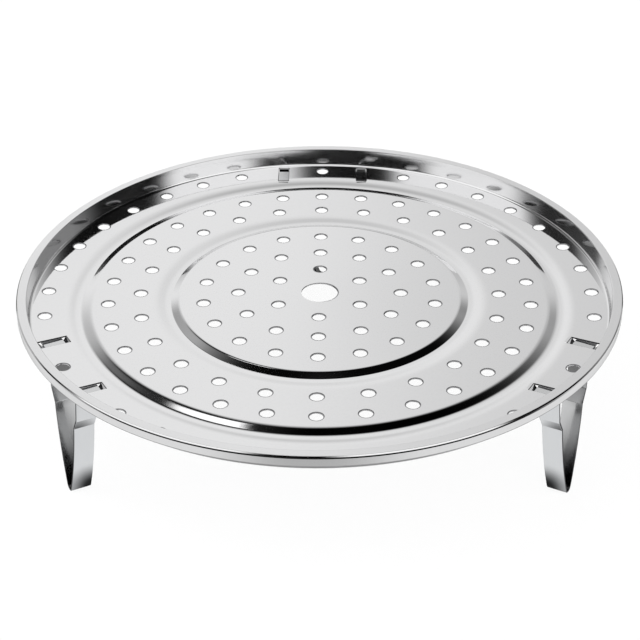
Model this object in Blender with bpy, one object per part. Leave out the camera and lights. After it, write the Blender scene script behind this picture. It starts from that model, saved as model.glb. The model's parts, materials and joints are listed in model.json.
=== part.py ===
"""A pressed steamer rack: a perforated round pan that stands on three clip-in spring legs.

Lengths are in metres and +Z is up. The origin is on the ground under the pan's centre, and the
back leg stands at +Y. Heights in the pan are counted from its outermost ring of steam holes.
"""

import math

import bmesh
import bpy
from mathutils import Matrix, Vector

# Whole rack
overall_height = 0.0768
pan_diameter = 0.280
sheet = 0.0006
seat_gap = 0.0003
turn_steps = 60

# Rim: a wall, a band turned out that falls a little, and a skirt turned down with a curled edge
rim_height = 0.0098
rim_band = 0.0048
rim_fall = 0.0003
rim_skirt = 0.0053
wall_lean = 0.0006
wall_foot_bend = 0.0022
rim_bend = 0.0009
curl = 0.0009

# Outer band, which rises towards the wall and carries the legs
outer_band_width = 0.0172
band_cone = math.radians(2.4)
outer_ring_inset = 0.0067

# Two pressed rings, each a steep step down from inside, a floor and a soft rise
step_bend = 0.0007
outer_rise_run = 0.0030
outer_floor_width = 0.0026
outer_step_run = 0.0046
outer_floor_depth = 0.0017
middle_band_width = 0.0306
middle_depth = 0.0008
inner_rise_run = 0.0037
inner_floor_width = 0.0028
inner_step_run = 0.0039
inner_floor_depth = 0.0021
disc_depth = 0.0007

# Steam holes, in rings placed as shares of the disc's radius and of the middle band's width
hole_diameter = 0.0060
centre_hole_diameter = 0.0172
disc_ring_shares = (0.331, 0.579, 0.828)
disc_ring_counts = (6, 12, 18)
middle_ring_shares = (0.255, 0.732)
middle_ring_counts = (24, 30)
outer_ring_count = 36
hole_sides = 10
cut_overrun = 0.0020

# Loops lanced down out of the outer band, one for each tab of a leg
leg_count = 3
leg_inset = 0.01045
loop_spacing = 0.0421
slot_length = 0.0137
slot_width = 0.0055
slit = 0.0003
loop_thickness = 0.0005
loop_anchor = 0.0012

# Spring legs: one strap bent to a narrow foot, two arms, a jog and a tab on each end
strap = 0.0009
strap_width = 0.0095
strap_side_play = 0.0004
tab_overhang = 0.0020
tab_bend = 0.0012
jog_depth = 0.0190
riser_lean = 0.0021
jog_height = 0.0062
jog_inset = 0.0036
jog_bend = 0.0025
arm_bulge = 0.0012
arm_steps = 4
foot_radius = 0.0026
foot_turn = math.radians(20)
foot_step = math.radians(20)

# Radii and heights that follow from the sizes above
pan_radius = pan_diameter / 2
wall_radius = pan_radius - rim_band - wall_lean
outer_ring_radius = wall_radius - outer_ring_inset
leg_radius = wall_radius - leg_inset
band_radius = wall_radius - outer_band_width
outer_floor_radius = band_radius - outer_rise_run
outer_step_radius = outer_floor_radius - outer_floor_width
middle_radius = outer_step_radius - outer_step_run
inner_rise_radius = middle_radius - middle_band_width
inner_floor_radius = inner_rise_radius - inner_rise_run
inner_step_radius = inner_floor_radius - inner_floor_width
disc_radius = inner_step_radius - inner_step_run
ring_plane_height = overall_height - rim_height

# Heights in a leg's own frame, where the band's top face at the leg is zero
tab_middle = -(sheet + seat_gap + strap / 2)
loop_floor = tab_middle - strap / 2 - seat_gap - loop_thickness / 2
loop_width = slot_width - 2 * slit


def remove_everything():
    for scene_object in list(bpy.data.objects):
        bpy.data.objects.remove(scene_object, do_unlink=True)


def steel(name, colour, roughness):
    material = bpy.data.materials.new(name)
    material.use_nodes = True
    shader = material.node_tree.nodes["Principled BSDF"]
    shader.inputs["Base Color"].default_value = (*colour, 1.0)
    shader.inputs["Metallic"].default_value = 1.0
    shader.inputs["Roughness"].default_value = roughness
    return material


def add_object(name, mesh_builder, material=None):
    """A mesh object from a bmesh, shaded smooth except at real corners."""
    mesh = bpy.data.meshes.new(name)
    mesh_builder.to_mesh(mesh)
    mesh_builder.free()
    mesh.shade_smooth()
    mesh.set_sharp_from_angle(angle=math.radians(40))
    if material:
        mesh.materials.append(material)
    made = bpy.data.objects.new(name, mesh)
    bpy.context.scene.collection.objects.link(made)
    return made


def add_helper(name, mesh_builder):
    """A cutter or a shape to be joined on, which is not a piece by itself."""
    helper = add_object(name, mesh_builder)
    helper.hide_render = True
    helper.display_type = "WIRE"
    return helper


def bent_path(corners):
    """Points along a bent line, where a corner is (across, up, bend radius, bend steps)."""
    points = []
    for index, (across, up, bend, steps) in enumerate(corners):
        corner = Vector((across, up))
        if not steps:
            points.append(corner)
            continue
        before = (Vector(corners[index - 1][:2]) - corner).normalized()
        after = (Vector(corners[index + 1][:2]) - corner).normalized()
        half_angle = before.angle(after) / 2
        centre = corner + (before + after).normalized() * (bend / math.sin(half_angle))
        start = corner + before * (bend / math.tan(half_angle)) - centre
        turn = start.angle_signed(corner + after * (bend / math.tan(half_angle)) - centre)
        for step in range(steps + 1):
            angle = -turn * step / steps
            points.append(centre + Matrix.Rotation(angle, 2) @ start)
    return points


def band_height(radius):
    """Height of the outer band's top face at a distance from the centre."""
    return (radius - outer_ring_radius) * math.tan(band_cone)


def leg_angles():
    return [math.pi / 2 + math.tau * leg / leg_count for leg in range(leg_count)]


def leg_frame(angle):
    """The frame of one leg: X outwards along the band, Y round the pan, Z square to the band."""
    seat = Matrix.Translation((leg_radius, 0, ring_plane_height + band_height(leg_radius)))
    tilt = Matrix.Rotation(-band_cone, 4, "Y")
    return Matrix.Rotation(angle, 4, "Z") @ seat @ tilt


def pan_profile():
    """The pan's top face, from the centre hole out to the curled edge of the skirt."""
    corners = [
        (centre_hole_diameter / 2, -disc_depth, 0, 0),
        (disc_radius, -disc_depth, step_bend, 1),
        (inner_step_radius, -inner_floor_depth, step_bend, 1),
        (inner_floor_radius, -inner_floor_depth, 0, 0),
        (inner_rise_radius, -middle_depth, 0, 0),
        (middle_radius, -middle_depth, step_bend, 1),
        (outer_step_radius, -outer_floor_depth, step_bend, 1),
        (outer_floor_radius, -outer_floor_depth, 0, 0),
        (band_radius, band_height(band_radius), 0, 0),
        (wall_radius, band_height(wall_radius), wall_foot_bend, 2),
        (wall_radius + wall_lean, rim_height, rim_bend, 2),
        (pan_radius, rim_height - rim_fall, rim_bend, 2),
        (pan_radius, rim_height - rim_skirt, curl, 1),
        (pan_radius - curl - sheet / 2, rim_height - rim_skirt, 0, 0),
    ]
    return bent_path(corners)


def pan_sheet():
    """The profile spun round the pan's axis, as a sheet with no thickness."""
    builder = bmesh.new()
    points = [builder.verts.new((point.x, 0, point.y)) for point in pan_profile()]
    edges = [builder.edges.new(pair) for pair in zip(points, points[1:])]
    bmesh.ops.spin(
        builder,
        geom=points + edges,
        cent=(0, 0, 0),
        axis=(0, 0, 1),
        angle=math.tau,
        steps=turn_steps,
        use_merge=True,
    )
    return builder


def hole_places():
    """The distance and the angle of every steam hole, with none where a loop is."""
    rings = [(disc_radius * share, count) for share, count in zip(disc_ring_shares, disc_ring_counts)]
    for share, count in zip(middle_ring_shares, middle_ring_counts):
        rings.append((inner_rise_radius + middle_band_width * share, count))
    places = [(radius, hole / count) for radius, count in rings for hole in range(count)]
    holes_per_leg = outer_ring_count // leg_count
    for hole in range(outer_ring_count):
        if hole % holes_per_leg not in (1, holes_per_leg - 1):
            places.append((outer_ring_radius, hole / outer_ring_count))
    return [(radius, math.pi / 2 + math.tau * turn) for radius, turn in places]


def steam_hole_cutter():
    """One punch for each steam hole, turned so that none of its corners is on a radius."""
    builder = bmesh.new()
    for radius, angle in hole_places():
        bmesh.ops.create_cone(
            builder,
            cap_ends=True,
            segments=hole_sides,
            radius1=hole_diameter / 2,
            radius2=hole_diameter / 2,
            depth=2 * (inner_floor_depth + cut_overrun),
            matrix=Matrix.Rotation(angle, 4, "Z") @ Matrix.Translation((radius, 0, 0)),
        )
    return builder


def loop_sides():
    """The middle of each loop in a leg's frame, left and right of the leg."""
    return (-loop_spacing / 2, loop_spacing / 2)


def slot_cutter(to_pan):
    """A box for each slot, over the loop that is lanced down out of it."""
    builder = bmesh.new()
    for angle in leg_angles():
        for side in loop_sides():
            size = Matrix.Diagonal((slot_length, slot_width, 2 * cut_overrun, 1))
            bmesh.ops.create_cube(
                builder,
                size=1,
                matrix=to_pan @ leg_frame(angle) @ Matrix.Translation((0, side, 0)) @ size,
            )
    return builder


def ribbon(builder, points, width, place):
    """A strip along points in a plane, drawn out sideways to its width."""
    lower = [builder.verts.new(place(-width / 2, point)) for point in points]
    edges = [builder.edges.new(pair) for pair in zip(lower, lower[1:])]
    drawn = bmesh.ops.extrude_edge_only(builder, edges=edges)["geom"]
    upper = [vertex for vertex in drawn if isinstance(vertex, bmesh.types.BMVert)]
    across = place(width / 2, points[0]) - place(-width / 2, points[0])
    bmesh.ops.translate(builder, verts=upper, vec=across)


def loop_path():
    """A loop from the side: held in the sheet at both ends, with a floor under the tab."""
    rise = (math.hypot(leg_radius, loop_spacing / 2) - leg_radius) * math.tan(band_cone)
    held = rise - sheet / 2
    floor_half = strap_width / 2 + strap_side_play
    outward = [
        Vector((floor_half, loop_floor)),
        Vector((slot_length / 2, held)),
        Vector((slot_length / 2 + loop_anchor, held)),
    ]
    inward = [Vector((-point.x, point.y)) for point in reversed(outward)]
    return inward + outward


def loops_to_join(to_pan):
    """The six lanced loops, thickened, before they are joined to the sheet."""
    builder = bmesh.new()
    for angle in leg_angles():
        for side in loop_sides():
            frame = to_pan @ leg_frame(angle) @ Matrix.Translation((0, side, 0))

            def place(across, point):
                return frame @ Vector((point.x, across, point.y))

            ribbon(builder, loop_path(), loop_width, place)
    bmesh.ops.recalc_face_normals(builder, faces=builder.faces)
    return builder


def add_solidify(target, thickness, offset):
    modifier = target.modifiers.new("Thickness", "SOLIDIFY")
    modifier.thickness = thickness
    modifier.offset = offset
    modifier.use_even_offset = True


def add_boolean(target, helper, operation):
    modifier = target.modifiers.new(helper.name, "BOOLEAN")
    modifier.object = helper
    modifier.operation = operation


def build_tray():
    """The pan with its holes, and the loops joined on under their slots."""
    tray = add_object("tray", pan_sheet(), steel("tray_steel", (0.80, 0.80, 0.81), 0.14))
    tray.location.z = ring_plane_height
    to_pan = Matrix.Translation((0, 0, -ring_plane_height))
    holes = add_helper("steam_hole_cutter", steam_hole_cutter())
    slots = add_helper("slot_cutter", slot_cutter(to_pan))
    loops = add_helper("lanced_loops", loops_to_join(to_pan))
    add_solidify(loops, loop_thickness, 0)
    add_solidify(tray, sheet, -1)
    for helper, operation in ((holes, "DIFFERENCE"), (slots, "DIFFERENCE"), (loops, "UNION")):
        helper.parent = tray
        add_boolean(tray, helper, operation)
    flat_faces = tray.modifiers.new("Flat faces", "DECIMATE")
    flat_faces.decimate_type = "DISSOLVE"
    flat_faces.angle_limit = math.radians(0.05)


def arm_points(top, bottom):
    """Points down an arm, bowed outwards as part of a circle between its two ends."""
    chord = bottom - top
    outwards = Vector((-chord.y, chord.x)).normalized()
    points = []
    for step in range(1, arm_steps):
        share = step / arm_steps
        points.append(top + chord * share + outwards * (4 * arm_bulge * share * (1 - share)))
    return points


def foot_height():
    """Height of the foot bend's centre, so that the foot's lowest edge stands on the ground."""
    seat_height = ring_plane_height + band_height(leg_radius)
    foot_flat = math.cos(foot_step / 2) * foot_radius + strap / 2
    inner_edge_drop = strap_width / 2 * math.sin(band_cone)
    return foot_flat - (seat_height - inner_edge_drop) / math.cos(band_cone)


def strap_path():
    """The strap's middle line from tab to tab, in the plane round the pan."""
    shoulder = loop_spacing / 2 - loop_width / 2 - tab_bend
    tip = loop_spacing / 2 + slot_width / 2 + tab_overhang
    jog_top = Vector((shoulder - riser_lean, -jog_depth))
    jog_foot = jog_top - Vector((jog_inset, jog_height))
    centre = Vector((0, foot_height()))
    foot = []
    angle = foot_turn
    while angle < math.pi / 2:
        foot.append(centre + foot_radius * Vector((math.cos(angle), -math.sin(angle))))
        angle += foot_step
    half = bent_path([
        (tip, tab_middle, 0, 0),
        (shoulder, tab_middle, tab_bend, 3),
        (jog_top.x, jog_top.y, jog_bend, 2),
        (jog_foot.x, jog_foot.y, jog_bend, 2),
        (foot[0].x, foot[0].y, 0, 0),
    ])[:-1]
    half += arm_points(half[-1], foot[0]) + foot
    return half + [Vector((-point.x, point.y)) for point in reversed(half)]


def build_leg(name, angle, material):
    """One spring leg, with its tabs resting in its own pair of loops."""
    builder = bmesh.new()
    ribbon(builder, strap_path(), strap_width, lambda across, point: Vector((across, point.x, point.y)))
    leg = add_object(name, builder, material)
    leg.matrix_world = leg_frame(angle)
    add_solidify(leg, strap, 0)


def build_rack():
    remove_everything()
    build_tray()
    leg_steel = steel("leg_steel", (0.78, 0.79, 0.80), 0.18)
    for name, angle in zip(("leg_back", "leg_left", "leg_right"), leg_angles()):
        build_leg(name, angle, leg_steel)


build_rack()
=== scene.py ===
"""A polished steamer rack on a white studio floor, seen from the front and a little above.

The pressed pan and its three spring legs are made again here with fine bends and round holes, to
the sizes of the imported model. Lengths are in metres, and angles are in radians unless a comment
says degrees.
"""

import json
import math

import bmesh
import bpy
from mathutils import Matrix, Vector

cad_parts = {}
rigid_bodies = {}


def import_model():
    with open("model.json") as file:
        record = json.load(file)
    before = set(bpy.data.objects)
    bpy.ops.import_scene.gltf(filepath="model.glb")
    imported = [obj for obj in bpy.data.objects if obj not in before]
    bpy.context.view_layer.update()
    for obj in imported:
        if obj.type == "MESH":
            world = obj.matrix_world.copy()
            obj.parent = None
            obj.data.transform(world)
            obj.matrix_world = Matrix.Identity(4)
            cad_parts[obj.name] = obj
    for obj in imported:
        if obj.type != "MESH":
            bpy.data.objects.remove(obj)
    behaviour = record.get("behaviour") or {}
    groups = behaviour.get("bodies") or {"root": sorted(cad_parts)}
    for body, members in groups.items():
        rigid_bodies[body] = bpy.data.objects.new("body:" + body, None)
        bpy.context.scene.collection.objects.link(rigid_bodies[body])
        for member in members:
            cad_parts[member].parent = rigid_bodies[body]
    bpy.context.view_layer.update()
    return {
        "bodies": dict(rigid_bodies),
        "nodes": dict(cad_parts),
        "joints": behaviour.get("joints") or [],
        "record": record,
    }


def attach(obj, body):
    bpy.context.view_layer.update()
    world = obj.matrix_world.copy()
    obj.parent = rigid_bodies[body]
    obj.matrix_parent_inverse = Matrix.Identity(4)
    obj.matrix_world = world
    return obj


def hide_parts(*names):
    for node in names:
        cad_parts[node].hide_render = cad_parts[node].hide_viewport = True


# The pan's own sizes. Heights are from its outermost ring of holes. The rim's rolled edge is two
# flats, each a run outwards and a drop.
ring_plane_height = 0.0670
sheet = 0.0006
pan_radius = 0.140
rim_height = 0.0096
rim_rise = 0.0001
rim_skirt = 0.0051
rim_bend = 0.0002
rolled_edge = ((0.00045, 0.00045), (0.00017, 0.00065))
rim_lip_bend = 0.0004
curl = 0.0009
wall_lean = 0.0003
wall_foot_bend = 0.0013
wall_radius = 0.1350
outer_ring_radius = 0.1279
flat_margin = 0.0006
shortest_flat = 4 * flat_margin

# The three wide faces: the radius and the height of each one's inner and outer edge
disc_face = (0, -0.00026, 0.06613, -0.00061)
middle_face = (0.0773, -0.00123, 0.1069, -0.00044)
outer_face = (0.11767, -0.00068, wall_radius, 0.00052)

# The two pressed rings between them, each a steep step, a floor and a soft rise. A ring's line
# is the floor's inner and outer corner, and its bends run from the inner edge to the outer one.
inner_ring = ((0.06987, -0.00209), (0.07234, -0.00193))
inner_ring_bends = (0.0032, 0.0009, 0.0250, 0.0400)
outer_ring = ((0.11136, -0.00173), (0.11396, -0.00144))
outer_ring_bends = (0.0067, 0.0044, 0.0220, 0.0300)

# Punched holes and slots, whose top edges the punch has drawn in a little. A slot's drawn-in
# edge is its width and its depth. A hole punch's faces whose normals rise more than
# edge_face_rise make the drawn-in edge.
hole_radius = 0.0030
centre_hole_radius = 0.0086
drawn_edge = 0.00008
drawn_run = 0.00065
slot_edge = (0.0002, 0.00010)
drawn_turn = math.radians(72)
drawn_steps = 4
edge_face_rise = 0.5
hole_rings = ((0.0219, 6), (0.0383, 12), (0.0548, 18), (0.0844, 24), (0.0990, 30))
outer_ring_count = 36
hole_sides = 28
centre_hole_sides = 72
punch_overrun = 0.0010
slot_punch_height = 4 * punch_overrun

# Lanced loops and the spring legs that clip into them. A loop's bend is its radius and its steps.
leg_count = 3
leg_radius = 0.12415
seat_tilt = math.radians(2.4)
seat_height = -0.00016
loop_spacing = 0.0421
slot_length = 0.0137
slot_width = 0.0055
slit = 0.00015
loop_thickness = 0.0005
loop_anchor = 0.0012
loop_end_bend = (0.0004, 3)
loop_floor_bend = (0.0006, 4)
seat_gap = 0.0003
strap = 0.0009
strap_width = 0.0095
strap_side_play = 0.0004
tab_overhang = 0.0020
tab_bend = 0.0012
jog_depth = 0.0190
riser_lean = 0.0021
jog_height = 0.0062
jog_inset = 0.0036
jog_bend = 0.0011
arm_bulge = 0.0012
foot_radius = 0.0026
foot_turn = math.radians(18)
worn_edge = 0.00015
worn_edge_corner = math.radians(50)
tab_middle = -(sheet + seat_gap + strap / 2)
loop_floor = tab_middle - strap / 2 - seat_gap - loop_thickness / 2
loop_width = slot_width - 2 * slit

# The studio round the pan, as panels that are laid over each other: brightness, softness of the
# edges in degrees, and corners in degrees round from the right and degrees above level
dark_studio = 0.002
studio_panels = (
    # sweep behind
    (0.50, 13.2, ((27, -16), (189, 1), (163, 38), (88, 60), (42, 17))),
    # bright left part of the sweep
    (0.88, 10.0, ((81, 17), (144, 0), (126, 22), (81, 49))),
    # plain right part of the sweep
    (0.69, 7.7, ((58, 18), (80, 6), (90, 40), (70, 31))),
    # grey screen at the right
    (0.27, 4.4, ((20, 7), (55, 6), (64, 29), (7, 22))),
    # gap beside the left box
    (0.02, 4.2, ((122, 23), (178, 7), (168, 31), (152, 45), (125, 30))),
    # dark ceiling over the sweep, left
    (0.02, 4.7, ((101, 44), (125, 35), (136, 54), (100, 69))),
    # dark ceiling over the sweep, right
    (0.00, 5.3, ((55, 53), (109, 62), (98, 73), (54, 61))),
    # gap beside the right box
    (0.01, 9.5, ((345, 1), (375, 2), (382, 36), (353, 50))),
    # faint light overhead
    (0.53, 9.6, ((-1, 64), (89, 84), (180, 72), (271, 71))),
    # left softbox
    (1.04, 5.0, ((195, 3), (221, 1), (236, 33), (243, 52), (199, 84), (146, 59), (174, 25))),
    # right softbox
    (1.07, 5.0, ((309, -1), (339, -1), (350, 46), (358, 55), (305, 72), (275, 45), (290, 22))),
    # panel overhead, behind the camera
    (1.12, 3.0, ((200, 74), (250, 56), (290, 56), (340, 74), (300, 86), (240, 86))),
    # small lamp over the sweep
    (1.35, 1.2, ((130, 56), (125, 54), (112, 63.5), (121, 66))),
)

# The floor: its size, its drop under the feet, how much of the white behind it the camera sees
# through it, and how much light it scatters
floor_size = 4
floor_gap = 0.0002
floor_clear = 0.92
floor_matt = 0.2

# The floor's glow as the steel mirrors it, painted with shade and light: levels of brightness (under the
# pan, in the lit ring, before the front legs, under the rim and beyond it) and the distances between
# which one turns into the next
floor_levels = (0.0, 0.85, 0.80, 0.22, 0.80)
lit_ring_middle = (-0.010, 0, 0)
lit_ring_edges = (0.042, 0.050, 0.078, 0.088)
front_floor_reach = (0.090, 0.105)
pan_shade_reach = (0.126, 0.140)
open_floor_reach = (0.165, 0.215)
floor_end = (0.32, 0.45)
floor_end_level = 0.02
front_half_edge = (-0.02, 0.02)
foot_shade = 0.03
foot_shade_radius = 0.120
foot_shade_reach = (0.005, 0.016)
front_shade = 0.60
front_shade_middle = (-0.008, -0.255, 0)
front_shade_reach = (0.02, 0.13)

# Duller zones of the pan: inner and outer radius, lowest height, share of the colour, roughness
zone_edge = 0.0002
pan_zones = (
    # wall
    (wall_radius - 0.0003, wall_radius + wall_lean + 0.0002, ring_plane_height + 0.0018, 0.97, 0.08),
    # flat of the rim
    (wall_radius + wall_lean + 0.0003, pan_radius - 0.0008, ring_plane_height + 0.0090, 0.99, 0.04),
)

# The insides of the legs carry painted shade, darker towards the foot: lower height, upper height, least
# share
inside_painted_shade = (0.002, 0.030, 0.12)

# Finishes: colour, roughness and how far smudges change it
polished_pan = ((0.87, 0.87, 0.875), 0.05, 0.02)
cut_side = ((0.70, 0.70, 0.71), 0.3, 0.05)
# The holes' drawn-in edges, painted dark as shade
shaded_drawn_in_edge = ((0.30, 0.30, 0.31), 0.3, 0.05)
shaded_slot_edge = ((0.06, 0.06, 0.065), 0.3, 0.05)
brushed_strap = ((0.80, 0.815, 0.83), 0.10, 0.03)
# Cut edges of the legs, painted near black as shade
shaded_strap_edge = ((0.08, 0.08, 0.085), 0.25, 0.05)
# The legs' insides: a darker copy of the strap's steel, as painted shade
shaded_strap_inside = ((0.72, 0.725, 0.73), 0.10, 0.03)

# Their smudges and grain: scales in waves to the metre, the noise's levels that are told apart, and
# how dark and how deep the grain's lines are
wide_smudge = {"Scale": 22.0, "Detail": 3.0, "Roughness": 0.6}
fine_smudge = {"Scale": 260.0, "Detail": 2.0, "Roughness": 0.5}
grain_line = {"Scale": 1.0, "Detail": 2.0}
pan_grain = (900, 900, 900)
leg_grain = (700, 700, 30)
noise_reach = (0.3, 0.7)
grain_darkening = 0.985
grain_depth = 0.0001
grain_strength = 0.03

# How fine the visible meshes are
turn_steps = 180
bend_steps = 6
arm_steps = 14
foot_steps = 9
smooth_corner = math.radians(38)


def bent_path(corners):
    """Points along a bent line, where a corner is (across, up, bend radius, bend steps)."""
    points = []
    for index, (across, up, bend, steps) in enumerate(corners):
        corner = Vector((across, up))
        if not steps:
            points.append(corner)
            continue
        before = (Vector(corners[index - 1][:2]) - corner).normalized()
        after = (Vector(corners[index + 1][:2]) - corner).normalized()
        half_angle = before.angle(after) / 2
        centre = corner + (before + after).normalized() * (bend / math.sin(half_angle))
        start = corner + before * (bend / math.tan(half_angle)) - centre
        turn = start.angle_signed(corner + after * (bend / math.tan(half_angle)) - centre)
        for step in range(steps + 1):
            angle = -turn * step / steps
            points.append(centre + Matrix.Rotation(angle, 2) @ start)
    return points


def leg_angles():
    return [math.pi / 2 + math.tau * leg / leg_count for leg in range(leg_count)]


def leg_frame(angle):
    """The frame of one leg: X outwards along the band, Y round the pan, Z square to the band."""
    seat = Matrix.Translation((leg_radius, 0, ring_plane_height + seat_height))
    tilt = Matrix.Rotation(-seat_tilt, 4, "Y")
    return Matrix.Rotation(angle, 4, "Z") @ seat @ tilt


def pan_profile():
    """The pan's top face, from inside the centre hole out to the curled edge of the skirt."""
    rolled_top = rim_height + rim_rise
    corners = [(centre_hole_radius / 2, disc_face[1], 0, 0)]
    pressed_rings = (
        (disc_face, inner_ring, inner_ring_bends, middle_face),
        (middle_face, outer_ring, outer_ring_bends, outer_face),
    )
    for inner_face, floor, bends, next_face in pressed_rings:
        for corner, bend in zip((inner_face[2:], *floor, next_face[:2]), bends):
            corners.append((*corner, bend, bend_steps))
    corners += [
        (*outer_face[2:], wall_foot_bend, 2 * bend_steps),
        (wall_radius + wall_lean, rim_height, rim_lip_bend, bend_steps),
        (pan_radius - sum(run for run, drop in rolled_edge), rolled_top, rim_bend, bend_steps),
        (pan_radius - rolled_edge[1][0], rolled_top - rolled_edge[0][1], rim_bend, bend_steps),
        (pan_radius, rolled_top - rolled_edge[0][1] - rolled_edge[1][1], rim_bend, bend_steps),
        (pan_radius, rim_height - rim_skirt, curl, bend_steps),
        (pan_radius - curl - sheet / 2, rim_height - rim_skirt, 0, 0),
    ]
    return with_flat_margins(bent_path(corners))


def with_flat_margins(points):
    """The same line, with a point near each end of every long straight run, which keeps it flat."""
    finished = [points[0]]
    for start, end in zip(points, points[1:]):
        run = end - start
        if run.length > shortest_flat:
            finished.append(start + run.normalized() * flat_margin)
            finished.append(end - run.normalized() * flat_margin)
        finished.append(end)
    return finished


def new_object(name, builder):
    mesh = bpy.data.meshes.new(name)
    builder.to_mesh(mesh)
    builder.free()
    made = bpy.data.objects.new(name, mesh)
    bpy.context.scene.collection.objects.link(made)
    return made


def spun_sheet():
    """The profile spun round the pan's axis."""
    builder = bmesh.new()
    points = [builder.verts.new((point.x, 0, ring_plane_height + point.y)) for point in pan_profile()]
    edges = [builder.edges.new(pair) for pair in zip(points, points[1:])]
    bmesh.ops.spin(
        builder,
        geom=points + edges,
        cent=(0, 0, 0),
        axis=(0, 0, 1),
        angle=math.tau,
        steps=turn_steps,
        use_merge=True,
    )
    return builder


def hole_places():
    """The distance and the angle of every steam hole, with none where a loop is."""
    places = [(radius, hole / count) for radius, count in hole_rings for hole in range(count)]
    holes_per_leg = outer_ring_count // leg_count
    for hole in range(outer_ring_count):
        if hole % holes_per_leg not in (1, holes_per_leg - 1):
            places.append((outer_ring_radius, hole / outer_ring_count))
    return [(radius, math.pi / 2 + math.tau * turn) for radius, turn in places]


def hole_frame(radius, angle):
    """A hole's own frame, with Z square to the face that it is punched through."""
    face = next(face for face in (disc_face, middle_face, outer_face) if radius < face[2])
    slope = (face[3] - face[1]) / (face[2] - face[0])
    height = face[1] + (radius - face[0]) * slope
    tilt = math.atan(slope)
    place = Matrix.Translation((radius, 0, ring_plane_height + height))
    return Matrix.Rotation(angle, 4, "Z") @ place @ Matrix.Rotation(-tilt, 4, "Y")


def punch(builder, place, radius, sides):
    """A turned punch that is wider at the top face, where it draws the hole's edge in."""
    outline = [(radius, -sheet - punch_overrun)]
    for step in range(drawn_steps + 1):
        angle = drawn_turn * step / drawn_steps
        outline.append((radius + drawn_run * (1 - math.cos(angle)), drawn_edge * (math.sin(angle) - 1)))
    across, up = outline[-1]
    flare = 2 * drawn_edge
    outline.append((across + flare * math.sin(drawn_turn), up + flare * math.cos(drawn_turn)))
    outline.append((outline[-1][0], punch_overrun))
    place = place @ Matrix.Rotation(math.pi / sides, 4, "Z")
    points = [builder.verts.new(place @ Vector((across, 0, up))) for across, up in outline]
    edges = [builder.edges.new(pair) for pair in zip(points, points[1:])]
    bmesh.ops.spin(
        builder,
        geom=points + edges,
        cent=place.translation,
        axis=place.col[2].xyz,
        angle=math.tau,
        steps=sides,
        use_merge=True,
    )


def hole_punches():
    """Punches for all the holes: material 0 on the sides that they cut, 1 on the drawn-in edges."""
    builder = bmesh.new()
    for radius, angle in hole_places():
        punch(builder, hole_frame(radius, angle), hole_radius, hole_sides)
    punch(builder, hole_frame(0, 0), centre_hole_radius, centre_hole_sides)
    bmesh.ops.holes_fill(builder, edges=[edge for edge in builder.edges if edge.is_boundary], sides=0)
    bmesh.ops.recalc_face_normals(builder, faces=builder.faces)
    for face in builder.faces:
        face.material_index = int(abs(face.normal.z) > edge_face_rise)
    return builder


def loop_sides():
    return (-loop_spacing / 2, loop_spacing / 2)


def slot_punches():
    builder = bmesh.new()
    for angle in leg_angles():
        for side in loop_sides():
            size = Matrix.Diagonal((slot_length, slot_width, slot_punch_height, 1))
            place = leg_frame(angle) @ Matrix.Translation((0, side, 0)) @ size
            bmesh.ops.create_cube(builder, size=1, matrix=place)
    return builder


def slot_edge_punches():
    """Shallow wider punches that draw in the sheet's face round each slot."""
    builder = bmesh.new()
    wider, depth = slot_edge
    for angle in leg_angles():
        for side in loop_sides():
            turn = math.atan2(side, leg_radius)
            face = hole_frame(math.hypot(side, leg_radius), angle + turn) @ Matrix.Rotation(-turn, 4, "Z")
            size = Matrix.Diagonal((slot_length + 2 * wider, slot_width + 2 * wider, 2 * depth, 1))
            bmesh.ops.create_cube(builder, size=1, matrix=face @ size)
    return builder


def ribbon(builder, points, width, place):
    """A strip along points in a plane, drawn out sideways to its width."""
    lower = [builder.verts.new(place(-width / 2, point)) for point in points]
    edges = [builder.edges.new(pair) for pair in zip(lower, lower[1:])]
    drawn = bmesh.ops.extrude_edge_only(builder, edges=edges)["geom"]
    upper = [vertex for vertex in drawn if isinstance(vertex, bmesh.types.BMVert)]
    across = place(width / 2, points[0]) - place(-width / 2, points[0])
    bmesh.ops.translate(builder, verts=upper, vec=across)


def loop_path():
    """A loop from the side: held in the sheet at both ends, with a floor under the tab."""
    rise = (math.hypot(leg_radius, loop_spacing / 2) - leg_radius) * math.tan(seat_tilt)
    held = rise - sheet / 2
    floor_half = strap_width / 2 + strap_side_play
    corners = [
        (-slot_length / 2 - loop_anchor, held, 0, 0),
        (-slot_length / 2, held, *loop_end_bend),
        (-floor_half, loop_floor, *loop_floor_bend),
        (floor_half, loop_floor, *loop_floor_bend),
        (slot_length / 2, held, *loop_end_bend),
        (slot_length / 2 + loop_anchor, held, 0, 0),
    ]
    return bent_path(corners)


def lanced_loops():
    builder = bmesh.new()
    for angle in leg_angles():
        for side in loop_sides():
            frame = leg_frame(angle) @ Matrix.Translation((0, side, 0))

            def place(across, point):
                return frame @ Vector((point.x, across, point.y))

            ribbon(builder, loop_path(), loop_width, place)
    bmesh.ops.recalc_face_normals(builder, faces=builder.faces)
    return builder


def thicken(target, thickness, offset):
    modifier = target.modifiers.new("Sheet", "SOLIDIFY")
    modifier.thickness = thickness
    modifier.offset = offset
    modifier.use_even_offset = True


def settle(target):
    """Make the modifiers' result the object's own mesh."""
    bpy.context.view_layer.update()
    depsgraph = bpy.context.evaluated_depsgraph_get()
    finished = bpy.data.meshes.new_from_object(target.evaluated_get(depsgraph))
    target.modifiers.clear()
    target.data = finished


def smooth_but_for_corners(target):
    """Smooth shading up to real corners, where wide faces keep their own direction."""
    target.data.shade_smooth()
    target.data.set_sharp_from_angle(angle=smooth_corner)
    flats = target.modifiers.new("Wide faces flat", "WEIGHTED_NORMAL")
    flats.keep_sharp = True
    settle(target)


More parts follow.
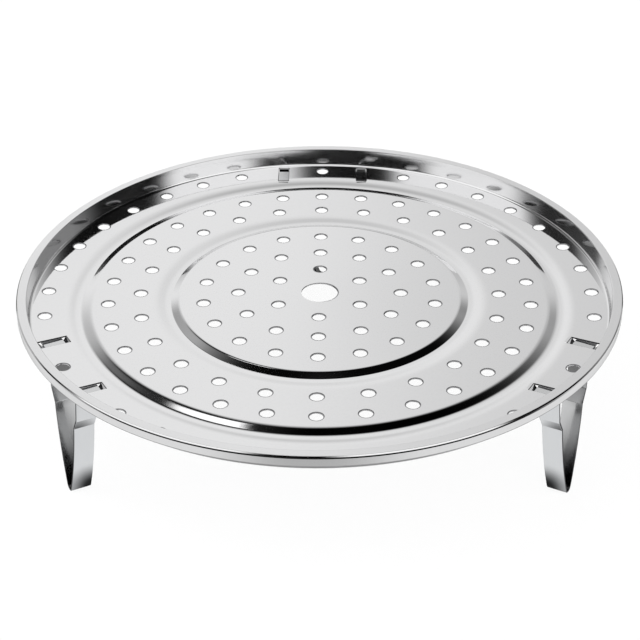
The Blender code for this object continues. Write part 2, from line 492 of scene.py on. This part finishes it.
def make_pan():
    pan = new_object("pressed_pan", spun_sheet())
    pan.data.materials.append(steel("polished_pan", *polished_pan, pan_grain, pan_zones))
    thicken(pan, sheet, -1)
    loops = new_object("loop_strips", lanced_loops())
    thicken(loops, loop_thickness, 0)
    hole_side = steel("cut_side", *cut_side, pan_grain)
    # Painted shade on the holes' drawn-in edges
    hole_edge = steel("drawn_edge", *shaded_drawn_in_edge, pan_grain)
    slot_side = steel("slot_edge", *shaded_slot_edge, pan_grain)
    punch_kinds = (
        ("hole_punches", hole_punches(), (hole_side, hole_edge)),
        ("slot_edge_punches", slot_edge_punches(), (slot_side,)),
        ("slot_punches", slot_punches(), (slot_side,)),
    )
    punches = []
    for punch_name, builder, finishes in punch_kinds:
        punches.append(new_object(punch_name, builder))
        for finish in finishes:
            punches[-1].data.materials.append(finish)
    operations = ["DIFFERENCE"] * len(punches) + ["UNION"]
    for helper, operation in zip(punches + [loops], operations):
        cut = pan.modifiers.new(helper.name, "BOOLEAN")
        cut.object = helper
        cut.operation = operation
        cut.material_mode = "TRANSFER"
    settle(pan)
    for helper in punches + [loops]:
        bpy.data.objects.remove(helper)
    smooth_but_for_corners(pan)
    return pan


def foot_height():
    """Height of the foot bend's centre, so that the foot's lowest edge stands on the ground."""
    lowest = foot_radius + strap / 2
    inner_edge_drop = strap_width / 2 * math.sin(seat_tilt)
    return lowest - (ring_plane_height + seat_height - inner_edge_drop) / math.cos(seat_tilt)


def strap_path():
    """The strap's middle line from tab to tab, in the plane round the pan."""
    shoulder = loop_spacing / 2 - loop_width / 2 - tab_bend
    tip = loop_spacing / 2 + slot_width / 2 + tab_overhang
    jog_top = Vector((shoulder - riser_lean, -jog_depth))
    jog_foot = jog_top - Vector((jog_inset, jog_height))
    centre = Vector((0, foot_height()))
    foot = []
    for step in range(foot_steps):
        angle = foot_turn + (math.pi / 2 - foot_turn) * step / foot_steps
        foot.append(centre + foot_radius * Vector((math.cos(angle), -math.sin(angle))))
    half = bent_path([
        (tip, tab_middle, 0, 0),
        (shoulder, tab_middle, tab_bend, bend_steps),
        (jog_top.x, jog_top.y, jog_bend, bend_steps),
        (jog_foot.x, jog_foot.y, jog_bend, bend_steps),
        (foot[0].x, foot[0].y, 0, 0),
    ])[:-1]
    top = half[-1]
    chord = foot[0] - top
    outwards = Vector((-chord.y, chord.x)).normalized()
    for step in range(1, arm_steps):
        share = step / arm_steps
        half.append(top + chord * share + outwards * (4 * arm_bulge * share * (1 - share)))
    half += foot
    middle = Vector((0, centre.y - foot_radius))
    return half + [middle] + [Vector((-point.x, point.y)) for point in reversed(half)]


def make_leg(name, angle, finishes):
    """One spring leg, with finishes for its outside, its cut edges and its inside; the edges and the
    inside carry painted shade.
    """
    frame = leg_frame(angle)

    def place(across, point):
        return frame @ Vector((across, point.x, point.y))

    builder = bmesh.new()
    ribbon(builder, strap_path(), strap_width, place)
    leg = new_object(name, builder)
    for finish in finishes:
        leg.data.materials.append(finish)
    thicken(leg, strap, 0)
    leg.modifiers["Sheet"].material_offset = 2
    leg.modifiers["Sheet"].material_offset_rim = 1
    edges = leg.modifiers.new("Worn edges", "BEVEL")
    edges.width = worn_edge
    edges.segments = 2
    edges.limit_method = "ANGLE"
    edges.angle_limit = worn_edge_corner
    settle(leg)
    smooth_but_for_corners(leg)
    return leg


def add_node(tree, kind, settings=None, **inputs):
    """A shader node whose inputs are plain values or other nodes' sockets."""
    node = tree.nodes.new(kind)
    for setting, value in (settings or {}).items():
        setattr(node, setting, value)
    for name, value in inputs.items():
        socket = node.inputs[int(name[1:]) if name[1:].isdigit() else name.replace("_", " ")]
        if isinstance(value, bpy.types.NodeSocket):
            tree.links.new(value, socket)
        else:
            socket.default_value = value
    return node


def arithmetic(tree, operation, *values):
    inputs = {"i" + str(index): value for index, value in enumerate(values)}
    return add_node(tree, "ShaderNodeMath", {"operation": operation}, **inputs).outputs[0]


def soft_step(tree, value, start, end, low=0.0, high=1.0):
    """A value that eases from low to high between start and end."""
    return add_node(
        tree, "ShaderNodeMapRange", {"interpolation_type": "SMOOTHSTEP"},
        Value=value, From_Min=start, From_Max=end, To_Min=low, To_Max=high,
    ).outputs["Result"]


def blend(tree, share, first, second):
    """The first value where the share is 0, the second where it is 1."""
    gap = arithmetic(tree, "SUBTRACT", second, first)
    return arithmetic(tree, "MULTIPLY_ADD", share, gap, first)


def distance_from(tree, place, point):
    offset = add_node(tree, "ShaderNodeVectorMath", {"operation": "DISTANCE"}, i0=place, i1=point)
    return offset.outputs["Value"]


def steel(name, colour, roughness, smudge, grain, zones=(), painted_ground_shade=None):
    """Polished steel with smudges and grain, duller in zones round the axis, and darkened near the ground
    by painted shade.
    """
    material = bpy.data.materials.new(name)
    material.use_nodes = True
    tree = material.node_tree
    shader = tree.nodes["Principled BSDF"]
    shader.inputs["Metallic"].default_value = 1
    place = add_node(tree, "ShaderNodeTexCoord").outputs["Object"]
    wide = add_node(tree, "ShaderNodeTexNoise", Vector=place, **wide_smudge)
    fine = add_node(tree, "ShaderNodeTexNoise", Vector=place, **fine_smudge)
    across = add_node(tree, "ShaderNodeVectorMath", {"operation": "MULTIPLY"}, i0=place, i1=grain)
    lines = add_node(tree, "ShaderNodeTexNoise", Vector=across.outputs[0], **grain_line)
    polish = soft_step(tree, wide.outputs["Fac"], *noise_reach, roughness - smudge, roughness + smudge)
    worn = arithmetic(tree, "MULTIPLY_ADD", fine.outputs["Fac"], smudge, polish)
    level = soft_step(tree, lines.outputs["Fac"], *noise_reach, grain_darkening, 1.0)
    height = add_node(tree, "ShaderNodeSeparateXYZ", i0=place).outputs["Z"]
    # Painted shade: the colour darkens towards the ground
    if painted_ground_shade:
        level = arithmetic(tree, "MULTIPLY", level, soft_step(tree, height, *painted_ground_shade))
    if zones:
        flat = add_node(tree, "ShaderNodeVectorMath", {"operation": "MULTIPLY"}, i0=place, i1=(1, 1, 0))
        radius = distance_from(tree, flat.outputs[0], (0, 0, 0))
    for inner, outer, lowest, share, more_roughness in zones:
        inside = soft_step(tree, radius, inner, inner + zone_edge)
        within = soft_step(tree, radius, outer, outer + zone_edge, 1.0, 0.0)
        above = soft_step(tree, height, lowest, lowest + zone_edge)
        inside = arithmetic(tree, "MULTIPLY", inside, within)
        inside = arithmetic(tree, "MULTIPLY", inside, above)
        level = arithmetic(tree, "MULTIPLY", level, blend(tree, inside, 1.0, share))
        worn = arithmetic(tree, "MULTIPLY_ADD", inside, more_roughness, worn)
    tint = add_node(tree, "ShaderNodeVectorMath", {"operation": "SCALE"}, i0=colour, Scale=level)
    tree.links.new(tint.outputs[0], shader.inputs["Base Color"])
    tree.links.new(worn, shader.inputs["Roughness"])
    bump = add_node(
        tree, "ShaderNodeBump",
        Strength=grain_strength, Distance=grain_depth, Height=lines.outputs["Fac"],
    )
    tree.links.new(bump.outputs["Normal"], shader.inputs["Normal"])
    return material


def floor_in_steel(tree):
    """How bright the floor glows in the steel, as painted shade and light: dark under the pan but for a
    ring, and at the feet.
    """
    place = add_node(tree, "ShaderNodeTexCoord").outputs["Object"]
    radius = distance_from(tree, place, (0, 0, 0))
    unlit, lit, front, shaded, far = floor_levels
    from_ring = distance_from(tree, place, lit_ring_middle)
    level = soft_step(tree, from_ring, *lit_ring_edges[:2], unlit, lit)
    level = blend(tree, soft_step(tree, from_ring, *lit_ring_edges[2:]), level, unlit)
    depth = add_node(tree, "ShaderNodeSeparateXYZ", i0=place).outputs["Y"]
    in_front = soft_step(tree, depth, *front_half_edge, 1.0, 0.0)
    in_front = arithmetic(tree, "MULTIPLY", in_front, soft_step(tree, radius, *front_floor_reach))
    level = blend(tree, in_front, level, front)
    level = blend(tree, soft_step(tree, radius, *pan_shade_reach), level, shaded)
    level = blend(tree, soft_step(tree, radius, *open_floor_reach), level, far)
    for angle in leg_angles():
        foot = (foot_shade_radius * math.cos(angle), foot_shade_radius * math.sin(angle), 0)
        shade = soft_step(tree, distance_from(tree, place, foot), *foot_shade_reach, foot_shade, 1.0)
        level = arithmetic(tree, "MULTIPLY", level, shade)
    from_front = distance_from(tree, place, front_shade_middle)
    shade = soft_step(tree, from_front, *front_shade_reach, front_shade, 1.0)
    level = arithmetic(tree, "MULTIPLY", level, shade)
    return arithmetic(tree, "MULTIPLY", level, soft_step(tree, radius, *floor_end, 1.0, floor_end_level))


def studio_floor():
    """A white floor that keeps a faint shadow, and through which the camera sees a lowered leg."""
    builder = bmesh.new()
    bmesh.ops.create_grid(builder, x_segments=1, y_segments=1, size=floor_size)
    floor = new_object("studio_floor", builder)
    floor.location.z = -floor_gap
    material = bpy.data.materials.new("white_floor")
    material.use_nodes = True
    tree = material.node_tree
    tree.nodes.remove(tree.nodes["Principled BSDF"])
    ray = add_node(tree, "ShaderNodeLightPath")
    seen = arithmetic(tree, "MAXIMUM", ray.outputs["Is Camera Ray"], ray.outputs["Is Transmission Ray"])
    # The steel sees the floor glow, with painted shade and painted light laid on it
    mirrored = arithmetic(tree, "MULTIPLY", ray.outputs["Is Glossy Ray"], floor_in_steel(tree))
    clear_share = arithmetic(tree, "MULTIPLY", seen, floor_clear)
    clear = add_node(tree, "ShaderNodeBsdfTransparent", Color=clear_share)
    glow = add_node(tree, "ShaderNodeEmission", Color=(1, 1, 1, 1), Strength=mirrored)
    matt_share = blend(tree, ray.outputs["Is Glossy Ray"], floor_matt, 0.0)
    matt = add_node(tree, "ShaderNodeBsdfDiffuse", Color=matt_share)
    both = add_node(tree, "ShaderNodeAddShader", i0=glow.outputs[0], i1=matt.outputs[0])
    whole = add_node(tree, "ShaderNodeAddShader", i0=both.outputs[0], i1=clear.outputs[0])
    tree.links.new(whole.outputs[0], tree.nodes["Material Output"].inputs["Surface"])
    floor.data.materials.append(material)


def photo_camera():
    """A camera at the photograph's angle, which looks at a point near the pan's centre."""
    image_width = 640
    focal_pixels = 1437.32
    elevation = math.radians(32.125)
    turn = math.radians(0.9341)
    roll = math.radians(-0.3712)
    distance = 0.65649
    target = Vector((0.000559, -0.025069, ring_plane_height))
    data = bpy.data.cameras.new("photo_camera")
    data.sensor_fit = "HORIZONTAL"
    data.sensor_width = 36
    data.lens = focal_pixels * data.sensor_width / image_width
    data.clip_start = 0.01
    data.dof.use_dof = False
    camera = bpy.data.objects.new("photo_camera", data)
    bpy.context.scene.collection.objects.link(camera)
    back = Vector((
        math.sin(turn) * math.cos(elevation),
        -math.cos(turn) * math.cos(elevation),
        math.sin(elevation),
    ))
    right = Vector((math.cos(turn), math.sin(turn), 0))
    up = back.cross(right)
    across = math.cos(roll) * right + math.sin(roll) * up
    above = -math.sin(roll) * right + math.cos(roll) * up
    camera.matrix_world = Matrix.Translation(target + back * distance) @ Matrix((
        (across.x, above.x, back.x, 0),
        (across.y, above.y, back.y, 0),
        (across.z, above.z, back.z, 0),
        (0, 0, 0, 1),
    ))
    bpy.context.scene.camera = camera


def towards(turn, rise):
    """A direction from degrees round from the right and degrees above level."""
    turn, rise = math.radians(turn), math.radians(rise)
    return Vector((math.cos(rise) * math.cos(turn), math.cos(rise) * math.sin(turn), math.sin(rise)))


def panel_share(tree, direction, corners, softness):
    """1 inside a panel whose corners are seen in these directions, 0 outside, soft between."""
    corners = [towards(*corner) for corner in corners]
    middle = sum(corners, Vector())
    half = math.sin(math.radians(softness))
    share = None
    for corner, after in zip(corners, corners[1:] + corners[:1]):
        inwards = corner.cross(after).normalized()
        inwards *= math.copysign(1, inwards.dot(middle))
        height = add_node(
            tree, "ShaderNodeVectorMath", {"operation": "DOT_PRODUCT"}, i0=direction, i1=inwards
        ).outputs["Value"]
        side = soft_step(tree, height, -half, half)
        share = side if share is None else arithmetic(tree, "MULTIPLY", share, side)
    return share


def studio_light():
    """The studio that the steel mirrors: panels round the pan, and plain white for the camera."""
    world = bpy.data.worlds.new("studio")
    bpy.context.scene.world = world
    world.use_nodes = True
    tree = world.node_tree
    direction = add_node(tree, "ShaderNodeTexCoord").outputs["Generated"]
    level = add_node(tree, "ShaderNodeValue").outputs[0]
    level.default_value = dark_studio
    for brightness, softness, corners in studio_panels:
        level = blend(tree, panel_share(tree, direction, corners, softness), level, brightness)
    ray = add_node(tree, "ShaderNodeLightPath")
    seen = arithmetic(tree, "MAXIMUM", ray.outputs["Is Camera Ray"], ray.outputs["Is Transmission Ray"])
    tree.links.new(blend(tree, seen, level, 1.0), tree.nodes["Background"].inputs["Strength"])
    tree.nodes["Background"].inputs["Color"].default_value = (1, 1, 1, 1)


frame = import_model()

# The legs' cut edges and insides carry painted shade
leg_finishes = (
    steel("brushed_strap", *brushed_strap, leg_grain),
    steel("shaded_strap_edge", *shaded_strap_edge, leg_grain),
    steel("shaded_strap_inside", *shaded_strap_inside, leg_grain, painted_ground_shade=inside_painted_shade),
)
pan = make_pan()
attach(pan, "tray")
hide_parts("tray")
for node, angle in zip(("leg_back", "leg_left", "leg_right"), leg_angles()):
    leg = make_leg(node + "_strap", angle, leg_finishes)
    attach(leg, node)
    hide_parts(node)

studio_floor()
photo_camera()
studio_light()
bpy.context.scene.view_settings.view_transform = "Standard"
